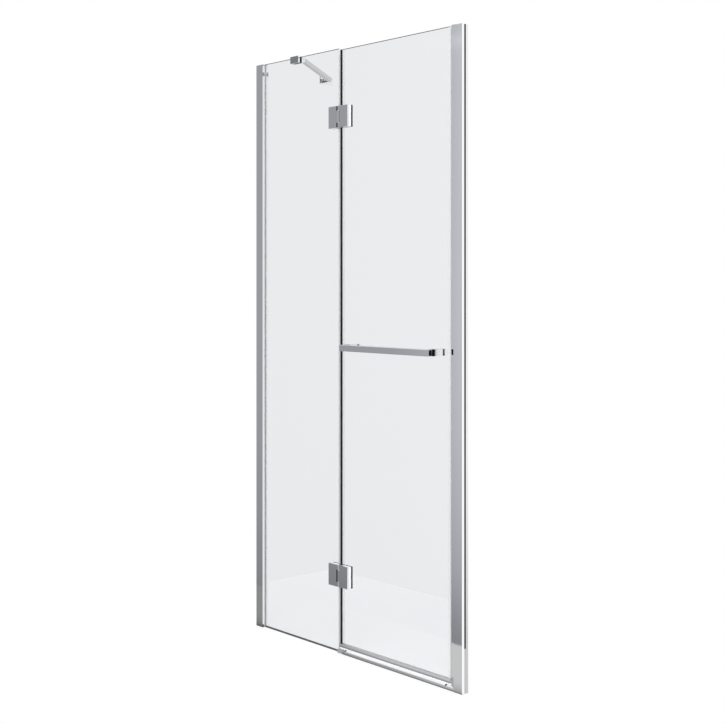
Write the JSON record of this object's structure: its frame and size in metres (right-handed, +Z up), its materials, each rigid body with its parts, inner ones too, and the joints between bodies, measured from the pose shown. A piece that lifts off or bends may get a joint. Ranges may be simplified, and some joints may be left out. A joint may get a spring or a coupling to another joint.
{
  "type": "hinged shower door with fixed in-line panel",
  "caption": "Frameless glass shower door hung on clamp hinges from a fixed glass panel, with wall profiles, towel bar handle, wall stay, edge seals and a low threshold.",
  "frame": {"origin": "on the shower tray under the middle of the opening, in the mid plane of the closed glass", "axes": "+Z up, +X from the fixed panel's wall towards the strike wall, +Y into the shower"},
  "size_m": [1, 0.3955, 1.954],
  "materials": {
    "glass": "clear toughened, polished",
    "polished_profile": "bright polished",
    "chrome": "mirror chrome plate",
    "steel": "plain stainless",
    "dark_rubber": "matt black",
    "pale_rubber": "pale grey, matt",
    "clear_seal": "translucent",
    "magnet": "pale coated magnetic strip",
    "nylon": "natural nylon",
    "grey_plastic": "grey moulded"
  },
  "bodies": {
    "frame": {"fixed_glass": "glass", "fixed_glass_base_strip": "dark_rubber", "left_gaskets": "pale_rubber", "left_glazing_profile": "polished_profile", "left_profile_cap": "polished_profile", "left_profile_screws": "steel", "left_wall_channel": "polished_profile", "lower_hinge_fixed_back_plate": "chrome", "lower_hinge_fixed_gaskets": "pale_rubber", "lower_hinge_fixed_leaf": "chrome", "lower_hinge_fixed_screws": "steel", "lower_hinge_pin": "steel", "right_wall_channel": "polished_profile", "stay_bar": "chrome", "stay_bracket_pin": "steel", "stay_clamp": "chrome", "stay_clamp_pads": "dark_rubber", "stay_clamp_pin": "steel", "stay_clamp_screws": "steel", "stay_wall_bracket": "chrome", "strike_cap": "polished_profile", "strike_foot": "grey_plastic", "strike_magnet": "magnet", "strike_magnet_carrier": "grey_plastic", "strike_profile": "polished_profile", "strike_profile_screws": "steel", "threshold_bar": "polished_profile", "threshold_end": "grey_plastic", "threshold_screws": "steel", "upper_hinge_fixed_back_plate": "chrome", "upper_hinge_fixed_gaskets": "pale_rubber", "upper_hinge_fixed_leaf": "chrome", "upper_hinge_fixed_screws": "steel", "upper_hinge_pin": "steel"},
    "door": {"door_glass": "glass", "door_magnet": "magnet", "drip_rail": "polished_profile", "drip_rail_end_caps": "grey_plastic", "handle_bar": "chrome", "handle_bolts": "steel", "handle_inner_caps": "chrome", "handle_post_left": "chrome", "handle_post_right": "chrome", "handle_sleeves": "nylon", "handle_washers": "dark_rubber", "hinge_edge_seal": "clear_seal", "lower_hinge_bushes": "nylon", "lower_hinge_door_back_plate": "chrome", "lower_hinge_door_gaskets": "pale_rubber", "lower_hinge_door_leaf": "chrome", "lower_hinge_door_screws": "steel", "magnet_edge_seal": "clear_seal", "sweep_blade": "clear_seal", "upper_hinge_bushes": "nylon", "upper_hinge_door_back_plate": "chrome", "upper_hinge_door_gaskets": "pale_rubber", "upper_hinge_door_leaf": "chrome", "upper_hinge_door_screws": "steel"}
  },
  "joints": [
    {"name": "door_swing", "type": "hinge", "parent": "frame", "child": "door", "pos_m": [-0.06, -0.006, 0], "axis": [0, 0, -1], "range_deg": [0, 100]}
  ]
}
